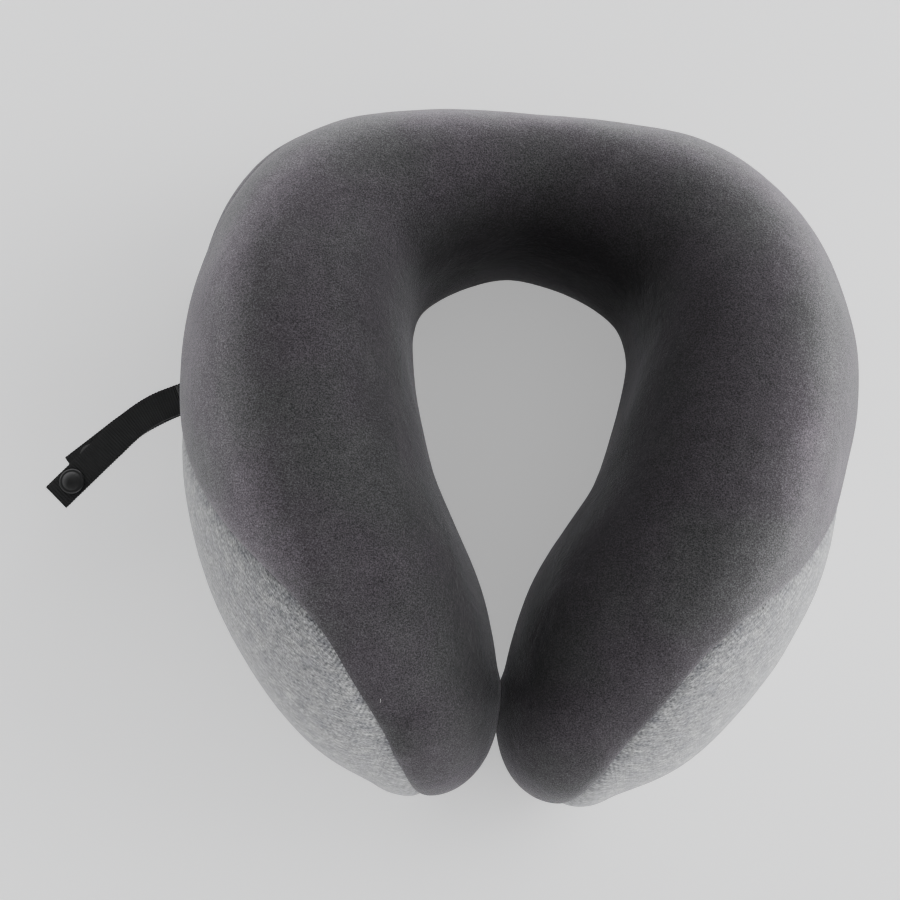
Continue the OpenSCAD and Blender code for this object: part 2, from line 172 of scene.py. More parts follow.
def rounded(knots, u):
    """Slope angle at places u of a seam that joins its knots, with its corners rounded off."""
    start, end = knots[0, 0], knots[-1, 0]
    width = np.clip(np.minimum(u - start if start else 1, end - u), 0, 0.2)
    angles = [np.interp(np.abs(u + k * width), *knots.T) for k in np.linspace(-1, 1, 21)]
    return np.radians(np.mean(angles, axis=0))


def side_seam(u):
    return rounded(SIDE_SEAM, u)


def rear_seam(u):
    return rounded(REAR_SEAM, u)


def rear_hem(u):
    """Slope angle of the rear panel's lower edge, which lifts over the zip."""
    t = np.clip((u - ZIP_PLACE) / (ZIP_FADE - ZIP_PLACE), 0, 1)
    return ZIP_HEM + (SKIRT - ZIP_HEM) * t * t * (3 - 2 * t)


def top_hem(u):
    """Slope angle of the top panel's lower edge."""
    return np.where(u <= JUNCTION, rear_seam(u), np.where(u < LEAF_END, side_seam(u), SKIRT))


def running(points, axis):
    """Distance travelled along that axis of a grid of points."""
    steps = np.linalg.norm(np.diff(points, axis=axis), axis=-1)
    start = np.zeros_like(np.take(steps, [0], axis=axis))
    return np.concatenate([start, np.cumsum(steps, axis=axis)], axis=axis)


def spread(length, n, seams):
    """n distances along each length, closer together at its start, and at its end too for two seams."""
    near = NEAR_SEAM * np.minimum(1, 0.35 * length / NEAR_SEAM[-1])[:, None]
    if seams == 0:
        return length[:, None] * np.linspace(0, 1, n)
    if seams == 1:
        t = np.linspace(0, 1, n - len(NEAR_SEAM) + 1)[1:]
        return np.hstack([near, near[:, -1:] + (length[:, None] - near[:, -1:]) * t])
    far = (length[:, None] - near)[:, ::-1]
    t = np.linspace(0, 1, n - 2 * len(NEAR_SEAM) + 2)[1:-1]
    return np.hstack([near, near[:, -1:] + (far[:, :1] - near[:, -1:]) * t, far])


def columns(u, low, high, n, seams):
    """A grid of n points up the wall at each place of u, between slope angles low and high."""
    low, high = np.broadcast_to(low, u.shape), np.broadcast_to(high, u.shape)
    angles = low[:, None] + (high - low)[:, None] * np.linspace(0, 1, 161)
    run = running(skin(u[:, None], angles), 1)
    wanted = spread(run[:, -1], n, seams)
    return skin(u[:, None], np.array([np.interp(w, r, a) for w, r, a in zip(wanted, run, angles)]))


def places(start, end):
    return np.linspace(start, end, round((end - start) * PER_PLACE) + 1)


def across_base(u_from, n):
    """Grid of points on the underside, from the seam to the centreline."""
    edge = skin(u_from, SKIRT)
    station = np.where(u_from < LAST, u_from, np.where(u_from < TURN_END, LAST, RING_END - u_from))
    centre = centre_points(station)
    flat = edge * [1, 1, 0]
    length = np.linalg.norm(centre - flat, axis=1)
    far = spread(length, n, 1)
    points = flat[:, None] + (centre - flat)[:, None] * (far / length[:, None])[..., None]
    points[..., 2] = SEAM_LIFT * np.clip(1 - far / (13 * MM), 0, 1) ** 2
    return points


# ---------------------------------------------------------------- the sewn cover

def add_grid(store, points, panel, side):
    """Adds a grid of points to the store as faces of one panel, with lengths along the cloth as its UVs."""
    m, n = points.shape[:2]
    start = sum(len(c) for c in store["co"])
    store["co"].append(points.reshape(-1, 3) * [side, 1, 1])
    i, k = np.meshgrid(np.arange(m - 1), np.arange(n - 1), indexing="ij")
    a = (i * n + k).ravel()
    quads = np.stack([a, a + 1, a + n + 1, a + n], -1)[:, ::side]
    flat = np.stack(np.broadcast_arrays(running(points, 0)[:, :1], running(points, 1)), -1).reshape(-1, 2)
    store["faces"].append(quads + start)
    store["uv"].append(flat[quads])
    store["panel"].append(np.full(len(quads), panel))


def sewn_body():
    """The cover as one closed mesh; its panels share their seams, and a material index is a panel."""
    store = {"co": [], "faces": [], "uv": [], "panel": []}
    arm, tip = places(0, LAST), places(LAST, TURN_END)
    half, hem, floor_rows = 46, 28, 18
    crest = math.pi / 2
    outside = columns(arm, top_hem(arm), crest, half, 1)
    inside = columns(RING_END - arm, SKIRT, crest, half, 1)
    over = np.concatenate([outside, inside[:, -2::-1]], axis=1)
    round_tip = columns(tip, top_hem(tip), crest, half, 1)
    rear_u, side_u, band_u = places(0, JUNCTION), places(JUNCTION, LEAF_END), places(0, ZIP_FADE)
    rear = columns(rear_u, rear_hem(rear_u), rear_seam(rear_u), hem, 2)
    leaf = columns(side_u, SKIRT, side_seam(side_u), hem, 2)
    band = columns(band_u, SKIRT, rear_hem(band_u), 8, 0)
    under = np.concatenate([across_base(arm, floor_rows),
                            across_base(RING_END - arm, floor_rows)[:, -2::-1]], axis=1)
    under_tip = across_base(tip, floor_rows)
    for side, side_panel in ((1, SIDE_RIGHT), (-1, SIDE_LEFT)):
        add_grid(store, over, TOP, side)
        add_grid(store, round_tip, TOP, side)
        add_grid(store, rear, REAR, side)
        add_grid(store, leaf, side_panel, side)
        add_grid(store, band, BAND, side)
        add_grid(store, under[:, ::-1], BASE, side)
        add_grid(store, under_tip[:, ::-1], BASE, side)
    mesh = bpy.data.meshes.new("sewn_body")
    mesh.from_pydata(np.concatenate(store["co"]), [], np.concatenate(store["faces"]))
    mesh.uv_layers.new(name="cloth").data.foreach_set("uv", np.concatenate(store["uv"]).ravel())
    for _ in PANELS:
        mesh.materials.append(None)
    mesh.polygons.foreach_set("material_index", np.concatenate(store["panel"]))
    cleaned(mesh, 0.01 * MM)
    body = bpy.data.objects.new("sewn_body", mesh)
    bpy.context.scene.collection.objects.link(body)
    return body


def cleaned(mesh, merge=0.0):
    """Turns a mesh's faces outwards, after merging its points that are closer than merge."""
    bm = bmesh.new()
    bm.from_mesh(mesh)
    if merge:
        bmesh.ops.remove_doubles(bm, verts=bm.verts, dist=merge)
        bmesh.ops.dissolve_degenerate(bm, dist=0.005 * MM, edges=bm.edges)
    bmesh.ops.recalc_face_normals(bm, faces=bm.faces)
    bm.to_mesh(mesh)
    bm.free()


def points_of(mesh):
    co = np.empty(len(mesh.vertices) * 3)
    mesh.vertices.foreach_get("co", co)
    return co.reshape(-1, 3)


def normals_of(mesh):
    no = np.empty(len(mesh.vertices) * 3)
    mesh.vertices.foreach_get("normal", no)
    return no.reshape(-1, 3)


def set_points(mesh, co):
    mesh.vertices.foreach_set("co", np.ascontiguousarray(co).ravel())
    mesh.update()


def registered(mesh):
    """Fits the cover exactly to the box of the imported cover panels."""
    corners = np.array([[tuple(c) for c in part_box(node)] for node in COVER_NODES])
    low, high = corners[:, 0].min(axis=0), corners[:, 1].max(axis=0)
    co = points_of(mesh)
    here = co.min(axis=0)
    set_points(mesh, low + (co - here) * (high - low) / (co.max(axis=0) - here))


def bump_round(co, x, y, wide, long):
    """A smooth hump, 1 at a place in plan and fading out over those lengths."""
    return np.exp(-((co[:, 0] - x) / wide) ** 2 - ((co[:, 1] - y) / long) ** 2)


def settled_in_use(co):
    """The pillow's own unevenness: the opening leans over, one rear corner is fuller, and the tips touch."""
    x, y = co[:, 0], co[:, 1]
    ring = np.hypot(x / (72 * MM), (y + 8 * MM) / (98 * MM))
    inner = np.clip((1.7 - ring) / 0.9, 0, 1)
    inner = inner * inner * (3 - 2 * inner)
    lean = np.clip((y + 22 * MM) / (55 * MM), -0.9, 1)
    tips = np.clip((y + 122 * MM) / (20 * MM), 0, 1)
    move = np.zeros_like(co)
    move[:, 0] += (1.3 * lean - np.sign(x)) * MM * inner * tips * np.minimum(1, np.abs(x) / (20 * MM))
    move[:, 1] -= 2.4 * MM * bump_round(co, 4 * MM, 50 * MM, 26 * MM, 20 * MM) * inner
    corner = bump_round(co, -100 * MM, 74 * MM, 30 * MM, 30 * MM)
    move[:, 0] -= 1.7 * MM * corner
    move[:, 1] += 1.5 * MM * corner
    move[:, 0] += 1.5 * MM * bump_round(co, -138 * MM, 18 * MM, 22 * MM, 30 * MM)
    shut = 3.0 * MM * np.exp(-((y + 135 * MM) / (9 * MM)) ** 2 - (x / (13 * MM)) ** 2)
    close = np.abs(x) < 30 * MM
    after = np.maximum(np.abs(x) - shut, np.minimum(np.abs(x), 0.3 * MM))
    move[close, 0] += (np.sign(x) * after - x)[close]
    return co + move


def seam_lines():
    """Each sewn seam as closely spaced points, right arm and left arm."""
    rear_u, side_u, ring_u = (np.linspace(a, b, n) for a, b, n in
                              ((0, JUNCTION, 900), (JUNCTION, LEAF_END, 900), (0, RING_END, 2600)))
    upright = np.linspace(SKIRT, JOINT_ANGLE, 120)
    right = [skin(rear_u, rear_seam(rear_u)), skin(side_u, side_seam(side_u)),
             skin(JUNCTION, upright), skin(ring_u, SKIRT)]
    return [line * [side, 1, 1] for line in right for side in (1, -1)]


def measure_seams(co):
    """Distance of each point from the nearest seam, and how far along that seam it is."""
    lines = seam_lines()
    along = np.concatenate([running(line, 0) + 0.9 * n for n, line in enumerate(lines)])
    points = np.concatenate(lines)
    tree = KDTree(len(points))
    for n, p in enumerate(points):
        tree.insert(p, n)
    tree.balance()
    found = [tree.find(p)[1:] for p in co]
    index = np.array([f[0] for f in found])
    return np.array([f[1] for f in found]), along[index]


# ---------------------------------------------------------------- cloth

VOXEL = 5 * MM
DEFLATE = 0.5 * MM
MOST_MOVE = 2.4 * MM
EVEN_OUT = 14
STEPS = 20


def blown_up(body):
    """How far each point of the cover moves when the cover, held at its seams, is blown up as cloth."""
    sim = bpy.data.objects.new("sim", body.data.copy())
    bpy.context.scene.collection.objects.link(sim)
    remesh = sim.modifiers.new("even", "REMESH")
    remesh.mode = "VOXEL"
    remesh.voxel_size = VOXEL
    bpy.context.view_layer.objects.active = sim
    bpy.ops.object.modifier_apply(modifier="even")
    mesh = sim.data
    start = points_of(mesh)
    gap = measure_seams(start)[0]
    shrunk = start - normals_of(mesh) * DEFLATE * (1 - np.exp(-gap / (5 * MM)))[:, None]
    set_points(mesh, shrunk)
    hold = sim.vertex_groups.new(name="hold")
    held = np.clip(1 - (gap - 2 * MM) / (5 * MM), 0, 1)
    held[shrunk[:, 2] < 4 * MM] = 1
    for n in np.flatnonzero(held > 0):
        hold.add([int(n)], float(held[n]), "REPLACE")
    cloth = sim.modifiers.new("cloth", "CLOTH")
    settings = cloth.settings
    settings.quality = 6
    settings.mass = 0.3
    settings.tension_stiffness = settings.compression_stiffness = 18
    settings.shear_stiffness = 6
    settings.bending_stiffness = 5
    settings.use_pressure = True
    settings.uniform_pressure_force = 4
    settings.shrink_min = -0.012
    settings.vertex_group_mass = "hold"
    settings.effector_weights.gravity = 0
    cloth.collision_settings.use_collision = False
    cloth.point_cache.frame_start, cloth.point_cache.frame_end = 1, STEPS
    scene = bpy.context.scene
    for step in range(1, STEPS + 1):
        scene.frame_set(step)
    settled = sim.evaluated_get(bpy.context.evaluated_depsgraph_get()).to_mesh()
    end = points_of(settled)
    scene.frame_set(1)
    move = end - start
    size = np.linalg.norm(move, axis=1)
    print("cloth", len(start), "points, mean move mm", size.mean() / MM, "most", size.max() / MM)
    move *= np.minimum(1, MOST_MOVE / np.maximum(size, 1e-9))[:, None]
    move = evened(mesh, move)
    mesh.calc_loop_triangles()
    triangles = np.array([t.vertices[:] for t in mesh.loop_triangles])
    tree = BVHTree.FromPolygons([Vector(p) for p in start], triangles.tolist())
    moves = []
    for p in points_of(body.data):
        at, _, index, _ = tree.find_nearest(Vector(p))
        corner = triangles[index]
        share = barycentric(np.array(at), start[corner])
        moves.append(share @ move[corner])
    bpy.data.objects.remove(sim)
    return np.array(moves)


def evened(mesh, values):
    """Values at a mesh's points, evened out with their neighbours."""
    pair = np.array([e.vertices[:] for e in mesh.edges])
    share = np.bincount(pair.ravel(), minlength=len(values))[:, None]
    for _ in range(EVEN_OUT):
        total = np.zeros_like(values)
        np.add.at(total, pair[:, 0], values[pair[:, 1]])
        np.add.at(total, pair[:, 1], values[pair[:, 0]])
        values = 0.5 * values + 0.5 * total / np.maximum(share, 1)
    return values


def barycentric(p, corners):
    """Shares of a triangle's corners in a point on it."""
    a, b, c = corners
    v0, v1, v2 = b - a, c - a, p - a
    d00, d01, d11, d20, d21 = v0 @ v0, v0 @ v1, v1 @ v1, v2 @ v0, v2 @ v1
    det = max(d00 * d11 - d01 * d01, 1e-18)
    s, t = np.clip([(d11 * d20 - d01 * d21) / det, (d00 * d21 - d01 * d20) / det], 0, 1)
    return np.array([1 - s - t, s, t])


def waves(co, size, seed):
    """Smooth seeded noise, about -1 to 1, with features of that size."""
    shift = Vector((seed * 3.1, seed * 1.7, seed * 2.3))
    return np.array([noise.noise(Vector(p) / size + shift) for p in co]) * 1.6


def painted_light_side_of(co):
    """Place across the arm, which sets the velour's painted light: -1 at the neck opening, for painted
    shade, and 1 on the outer wall, for painted sheen, which fades out towards the tips.
    """
    row, slope = centreline(np.linspace(0, LAST, 400))
    ahead = slope[:, :2] / np.hypot(slope[:, 0], slope[:, 1])[:, None]
    tree = KDTree(len(row))
    for n, (x, y) in enumerate(row[:, :2] * MM):
        tree.insert((x, y, 0), n)
    tree.balance()
    near = np.array([tree.find((abs(x), y, 0))[1] for x, y, _ in co])
    offset = np.column_stack([np.abs(co[:, 0]), co[:, 1]]) - row[near, :2] * MM
    side = offset[:, 1] * ahead[near, 0] - offset[:, 0] * ahead[near, 1]
    painted_light_side = side / (row[near, 2] * MM)
    fade = np.clip((co[:, 1] + 160 * MM) / (60 * MM), 0.15, 1)
    return np.where(painted_light_side > 0, painted_light_side * fade, painted_light_side)


def dressed(body):
    """Gives the cover its blown-up panels, soft unevenness, sunk seams and puckers."""
    mesh = body.data
    registered(mesh)
    co = points_of(mesh)
    gap, along = measure_seams(co)
    free = 1 - np.exp(-gap / (6 * MM))
    co = co + blown_up(body) * free[:, None]
    set_points(mesh, co)
    lying = np.clip(co[:, 2] / (8 * MM), 0, 1)
    uneven = (0.75 * waves(co, 62 * MM, 1) + 0.3 * waves(co, 24 * MM, 2)) * MM * free * lying
    knots = np.arange(0, 9, 4 * MM)
    pucker = np.interp(along, knots, rng.uniform(-1, 1, len(knots)))
    sink = 1.7 * MM * np.exp(-gap / (2.1 * MM)) + 0.55 * MM * np.exp(-gap / (9 * MM))
    sink += 0.28 * MM * pucker * np.exp(-gap / (6 * MM)) * (1 - 0.5 * np.exp(-gap / (1.0 * MM)))
    co = settled_in_use(co + normals_of(mesh) * (uneven - sink * (0.35 + 0.65 * lying))[:, None])
    co[:, 2] = np.maximum(co[:, 2], LOWEST)
    co[:, 2] -= (co[:, 2].min() - LOWEST) * np.clip(1 - co[:, 2] / (30 * MM), 0, 1)
    set_points(mesh, co)
    # The second attribute carries the velour's painted shade and painted sheen across each arm.
    for name, values in (("seam_near", np.exp(-gap / (5 * MM))), ("painted_light_side", painted_light_side_of(co))):
        mesh.attributes.new(name, "FLOAT", "POINT").data.foreach_set("value", values.astype(np.float32))


def new_piece(name, co, faces, uv=None):
    mesh = bpy.data.meshes.new(name)
    mesh.from_pydata([tuple(p) for p in co], [], [list(f) for f in faces])
    if uv is not None:
        mesh.uv_layers.new(name="cloth").data.foreach_set("uv", np.asarray(uv, float).ravel())
    mesh.polygons.foreach_set("use_smooth", [True] * len(mesh.polygons))
    piece = bpy.data.objects.new(name, mesh)
    bpy.context.scene.collection.objects.link(piece)
    return piece


def panel_piece(body, panel, thickness, name, set_back=0.0):
    """One panel of the cover as its own closed cloth piece, with an inner face and turned edges."""
    mesh = body.data
    co, no = points_of(mesh), normals_of(mesh)
    uv = np.empty(len(mesh.loops) * 2)
    mesh.uv_layers[0].data.foreach_get("uv", uv)
    uv = uv.reshape(-1, 2)
    mine = [p for p in mesh.polygons if p.material_index == panel]
    used = np.unique(np.concatenate([p.vertices[:] for p in mine]))
    new = {old: n for n, old in enumerate(used)}
    outer = [[new[v] for v in p.vertices] for p in mine]
    outer_uv = [uv[p.loop_start:p.loop_start + p.loop_total] for p in mine]
    count = len(used)
    edges = {}
    for face, face_uv in zip(outer, outer_uv):
        for a, b, ua, ub in zip(face, face[1:] + face[:1], face_uv, np.roll(face_uv, -1, axis=0)):
            edges[(a, b)] = (ua, ub)
    rim = [(a, b, *pair) for (a, b), pair in edges.items() if (b, a) not in edges]
    faces = outer + [[v + count for v in f[::-1]] for f in outer]
    faces += [[b, a, a + count, b + count] for a, b, _, _ in rim]
    all_uv = outer_uv + [f[::-1] for f in outer_uv] + [np.array([ub, ua, ua, ub]) for _, _, ua, ub in rim]
    outer_co = co[used] - no[used] * set_back
    points = np.concatenate([outer_co, outer_co - no[used] * thickness])
    points[:, 2] = np.maximum(points[:, 2], LOWEST)
    piece = new_piece(name, points, faces, np.concatenate(all_uv))
    piece.data.set_sharp_from_angle(angle=math.radians(55))
    for kind in ("seam_near", "painted_light_side"):
        values = np.empty(len(co), np.float32)
        mesh.attributes[kind].data.foreach_get("value", values)
        own = piece.data.attributes.new(kind, "FLOAT", "POINT")
        own.data.foreach_set("value", np.concatenate([values[used], values[used]]))
    return piece


def filling(name, inset):
    """A closed soft form inside the cover, at that depth below its surface."""
    store = {"co": [], "faces": [], "uv": [], "panel": []}
    arm, tip = np.linspace(0, LAST, 61), np.linspace(LAST, TURN_END, 25)

    def wall(u):
        angles = np.concatenate([np.radians(np.linspace(-50, -4, 9)), np.radians(np.linspace(0, 90, 20))])
        points = skin(u[:, None], np.broadcast_to(angles, (len(u), len(angles))), inset)
        foot = points[:, :1].copy()
        return np.concatenate([foot, points], axis=1)

    for side in (1, -1):
        outer, inner = wall(arm), wall(RING_END - arm)
        add_grid(store, np.concatenate([outer, inner[:, -2::-1]], axis=1), 0, side)
        add_grid(store, wall(tip), 0, side)
        bottom = np.stack([outer[:, 0], inner[:, 0]], axis=1)
        middle = centre_points(arm) + [0, 0, bottom[0, 0, 2]]
        add_grid(store, np.stack([inner[:, 0], middle, outer[:, 0]], axis=1), 0, side)
        end = np.broadcast_to(middle[-1], (len(tip), 3))
        add_grid(store, np.stack([end, wall(tip)[:, 0]], axis=1), 0, side)
    piece = new_piece(name, np.concatenate(store["co"]), np.concatenate(store["faces"]),
                      np.concatenate(store["uv"]))
    cleaned(piece.data, 0.02 * MM)
    return piece


# ---------------------------------------------------------------- small parts

def tube(name, path, radius, sides=6):
    """A round thread or wire along a path of points."""
    path = np.asarray(path, float)
    ahead = np.gradient(path, axis=0)
    ahead /= np.linalg.norm(ahead, axis=1)[:, None]
    guide = np.zeros_like(ahead)
    guide[:, 2] = 1
    upright = np.abs(ahead[:, 2]) > 0.95
    guide[upright] = [1, 0, 0]
    one = np.cross(ahead, guide)
    one /= np.linalg.norm(one, axis=1)[:, None]
    two = np.cross(ahead, one)
    turn = np.linspace(0, 2 * math.pi, sides, endpoint=False)
    radii = np.broadcast_to(radius, len(path))[:, None, None]
    round_it = np.cos(turn)[None, :, None] * one[:, None] + np.sin(turn)[None, :, None] * two[:, None]
    ring = path[:, None] + radii * round_it
    co = ring.reshape(-1, 3)
    n, last = sides, len(path) - 1
    faces = [[i * n + k, i * n + (k + 1) % n, (i + 1) * n + (k + 1) % n, (i + 1) * n + k]
             for i in range(last) for k in range(n)]
    faces += [list(range(n))[::-1], [last * n + k for k in range(n)]]
    return new_piece(name, co, faces)


def joined(name, pieces):
    """Several pieces made into one."""
    bm = bmesh.new()
    for piece in pieces:
        bm.from_mesh(piece.data)
        bpy.data.objects.remove(piece)
    mesh = bpy.data.meshes.new(name)
    bm.to_mesh(mesh)
    bm.free()
    mesh.polygons.foreach_set("use_smooth", [True] * len(mesh.polygons))
    whole = bpy.data.objects.new(name, mesh)
    bpy.context.scene.collection.objects.link(whole)
    return whole


def stitch_row(name, starts, ends, ups, radius):
    """Short thread stitches, each rising a little between its two holes."""
    made = []
    t = np.linspace(0, 1, 7)
    for n, (a, b, up) in enumerate(zip(starts, ends, ups)):
        path = a + (b - a) * t[:, None] + up * (np.sin(math.pi * t) * radius * 1.5 - radius * 0.6)[:, None]
        thick = radius * (0.45 + 0.55 * np.sin(math.pi * t) ** 0.5)
        made.append(tube(f"stitch{n}", path, thick, 6))
    return joined(name, made)


def lathe(name, profile, matrix, segments=64):
    """A part turned about z from (radius, height) pairs in millimetres, the first and last on the axis."""
    profile = [(r * MM, z * MM) for r, z in profile]
    turn = np.linspace(0, 2 * math.pi, segments, endpoint=False)
    co = [(0, 0, profile[0][1])]
    for r, z in profile[1:-1]:
        co += [(r * math.cos(a), r * math.sin(a), z) for a in turn]
    co.append((0, 0, profile[-1][1]))
    rings = len(profile) - 2
    faces = [[0, 1 + (k + 1) % segments, 1 + k] for k in range(segments)]
    for i in range(rings - 1):
        a = 1 + i * segments
        faces += [[a + k, a + (k + 1) % segments, a + segments + (k + 1) % segments, a + segments + k]
                  for k in range(segments)]
    a = 1 + (rings - 1) * segments
    faces += [[a + k, a + (k + 1) % segments, len(co) - 1] for k in range(segments)]
    piece = new_piece(name, co, faces)
    cleaned(piece.data)
    piece.data.transform(matrix)
    piece.data.set_sharp_from_angle(angle=math.radians(40))
    return piece


def softened(node, name, width):
    """A CAD part's shape with its hard edges rounded over."""
    piece = bpy.data.objects.new(name, frame["nodes"][node].data.copy())
    piece.data.name = name
    piece.data.materials.clear()
    bpy.context.scene.collection.objects.link(piece)
    bm = bmesh.new()
    bm.from_mesh(piece.data)
    bmesh.ops.remove_doubles(bm, verts=bm.verts, dist=0.005 * MM)
    bmesh.ops.dissolve_limit(bm, angle_limit=math.radians(2), verts=bm.verts, edges=bm.edges)
    sharp = [e for e in bm.edges if len(e.link_faces) == 2 and e.calc_face_angle() > math.radians(35)]
    bmesh.ops.bevel(bm, geom=sharp, offset=width, segments=3, profile=0.6, affect="EDGES",
                    clamp_overlap=True)
    bm.to_mesh(piece.data)
    bm.free()
    piece.data.polygons.foreach_set("use_smooth", [True] * len(piece.data.polygons))
    piece.data.set_sharp_from_angle(angle=math.radians(30))
    return piece


# ---------------------------------------------------------------- zip

def on_zip(at, out, up):
    """Points of the zip band: at is the angle round its arc, out is off the tape and up is up the band."""
    at, out, up = np.broadcast_arrays(at, out, up)
    y = ZIP_R + out * math.cos(ZIP_LEAN) + up * math.sin(ZIP_LEAN)
    z = ZIP_Z - out * math.sin(ZIP_LEAN) + up * math.cos(ZIP_LEAN)
    return np.stack([y * np.sin(at), ZIP_CENTRE_Y + y * np.cos(at), z], -1)


def strip(name, grid, thickness_way, thickness):
    """A thin closed strip from a grid of outer points, with lengths as its UVs."""
    m, n = grid.shape[:2]
    back = grid - thickness_way * thickness
    co = np.concatenate([grid.reshape(-1, 3), back.reshape(-1, 3)])
    i, k = np.meshgrid(np.arange(m - 1), np.arange(n - 1), indexing="ij")
    a = (i * n + k).ravel()
    front = np.stack([a, a + n, a + n + 1, a + 1], -1)
    count = m * n
    ring = ([k for k in range(n)] + [i * n + n - 1 for i in range(1, m)]
            + [(m - 1) * n + k for k in range(n - 2, -1, -1)] + [i * n for i in range(m - 2, 0, -1)])
    rim = np.array([[p, q, q + count, p + count] for p, q in zip(ring, ring[1:] + ring[:1])])
    flat = np.stack(np.broadcast_arrays(running(grid, 0)[:, :1], running(grid, 1)), -1).reshape(-1, 2)
    flat = np.concatenate([flat, flat])
    faces = np.concatenate([front, front[:, ::-1] + count, rim])
    piece = new_piece(name, co, faces, flat[faces])
    cleaned(piece.data)
    piece.data.set_sharp_from_angle(angle=math.radians(50))
    return piece


def zip_tape(name, side):
    """One woven tape of the zip, from its corded edge at the coil to under the hem."""
    at = np.linspace(-ZIP_HALF - 0.014, ZIP_HALF + 0.014, 150)
    up = np.array([0.8, 1.1, 1.6, 2.4, 3.4, 4.4, 5.4, 6.1, 6.9]) * MM
    cord = 0.25 * MM * np.exp(-((up - 1.1 * MM) / (0.6 * MM)) ** 2)
    tuck = np.clip((up - 5 * MM) / (2 * MM), 0, 1) * 0.9 * MM
    grid = on_zip(at[:, None], 0.3 * MM + cord - tuck, side * up)
    way = on_zip(at, 1, 0)[:, None] - on_zip(at, 0, 0)[:, None]
    return strip(name, grid, way, 0.6 * MM)


def zip_coil(name, side):
    """A flattened coil of monofilament, whose heads cross the zip's middle between the other coil's."""
    pitch = 1.4 * MM
    turns = round(2 * ZIP_HALF * ZIP_R / pitch)
    t = np.arange(turns * 12 + 1) / 12
    at = -ZIP_HALF + (t + (0.5 if side > 0 else 0)) * pitch / ZIP_R
    up = side * (1.02 + 1.1 * np.cos(2 * math.pi * t)) * MM
    out = (0.92 + 0.5 * np.sin(2 * math.pi * t)) * MM
    return tube(name, on_zip(at, out, up), 0.25 * MM, 6)


def zip_stitching():
    """Rows of stitches that hold the tapes, one in the hem above and one in the base below."""
    pitch = 3 * MM / ZIP_R
    at = np.arange(-ZIP_HALF, ZIP_HALF, pitch)
    rows = []
    for side, up, out in ((1, 4.3 * MM, 0.36 * MM), (-1, -4.3 * MM, 0.36 * MM)):
        a, b = on_zip(at, out, up), on_zip(at + pitch * 0.72, out, up)
        ups = on_zip(at, 1, up) - on_zip(at, 0, up)
        rows.append(stitch_row(f"row{side}", a, b, ups, 0.22 * MM))
    return joined("zip_stitching", rows)


# ---------------------------------------------------------------- strap

def strap_matrix(root, droop):
    return (Matrix.Translation(root) @ Matrix.Rotation(STRAP_HEADING, 4, "Z")
            @ Matrix.Rotation(math.radians(droop), 4, "Y"))


def way_along(d, turn):
    """Where a tail's middle is at distance d from its root, and its turn there, in the tail's own plane."""
    radius = BEND / math.radians(turn)
    a = math.radians(turn) * np.clip((d - STRAIGHT) / BEND, 0, 1)
    rest = np.maximum(d - STRAIGHT - BEND, 0)
    return (np.minimum(d, STRAIGHT) + radius * np.sin(a) + rest * np.cos(a),
            radius * (1 - np.cos(a)) + rest * np.sin(a), a)


def selvedged(d, v):
    """Offsets across the webbing at distances d and shares v of its half width, with toothed edges."""
    return (STRAP_W / 2 - TOOTH + TOOTH * np.cos(2 * math.pi * d / RIB))[:, None] * v


def strap_tail(name, tail, matrix, wave):
    """A webbing tail with toothed selvedges and a slight lengthwise wave that dies out at its snap."""
    length, turn = tail
    d = np.arange(TAIL_START, length + 1e-6, 0.42 * MM)
    v = np.array([-1, -0.97, -0.9, -0.75, -0.55, -0.3, 0, 0.3, 0.55, 0.75, 0.9, 0.97, 1])
    x, y, a = way_along(d, turn)
    half = selvedged(d, v)
    fade = (np.clip((length - SNAP_BACK - 8 * MM - d) / (20 * MM), 0, 1)
            * np.clip((d - TAIL_START) / (8 * MM), 0, 1))
    lift = wave * np.sin(2 * math.pi * d / (46 * MM)) * fade
    z = lift[:, None] - EDGE_DROP * np.abs(v) ** 6 + STRAP_T / 2
    cup = 0.25 * MM * fade[:, None] * v**2
    grid = np.stack([x[:, None] - np.sin(a)[:, None] * half, y[:, None] + np.cos(a)[:, None] * half,
                     z + cup], -1)
    thin = np.zeros_like(grid)
    thin[..., 2] = 1 - 0.22 * np.abs(v) ** 6
    piece = strip(name, grid, thin, STRAP_T)
    piece.data.transform(matrix)
    return piece


def strap_anchor():
    """The two sewn-in ends of webbing, one on the other, coming out of the joint of the panels."""
    layers = []
    v = np.array([-1, -0.97, -0.9, -0.75, -0.4, 0, 0.4, 0.75, 0.9, 0.97, 1])
    for root, end in ((STRAP_ROOT, UPPER_END), (LOWER_ROOT, LOWER_END)):
        x = np.linspace(-5.5 * MM, end, 16)
        up = STRAP_T / 2 - EDGE_DROP * np.abs(v) ** 6
        grid = np.stack(np.broadcast_arrays(x[:, None], selvedged(x, v), up), -1)
        layer = strip("layer", grid, np.array([0, 0, 1]), STRAP_T)
        layer.data.transform(strap_matrix(root, 0))
        layers.append(layer)
    whole = joined("strap_ends", layers)
    whole.data.set_sharp_from_angle(angle=math.radians(50))
    return whole


def bartack():
    """The close row of thread across the strap's root."""
    y = np.linspace(-5.6, 5.6, 26) * MM
    up = STRAP_T / 2 + 0.06 * MM
    starts = np.stack([np.full_like(y, -1.3 * MM), y, np.full_like(y, up)], -1)
    ends = starts + np.array([1.9 * MM, 0.22 * MM, 0])
    tack = stitch_row("bartack", starts, ends, np.tile([0, 0, 1.0], (len(y), 1)), 0.2 * MM)
    tack.data.transform(strap_matrix(STRAP_ROOT, 0))
    return tack


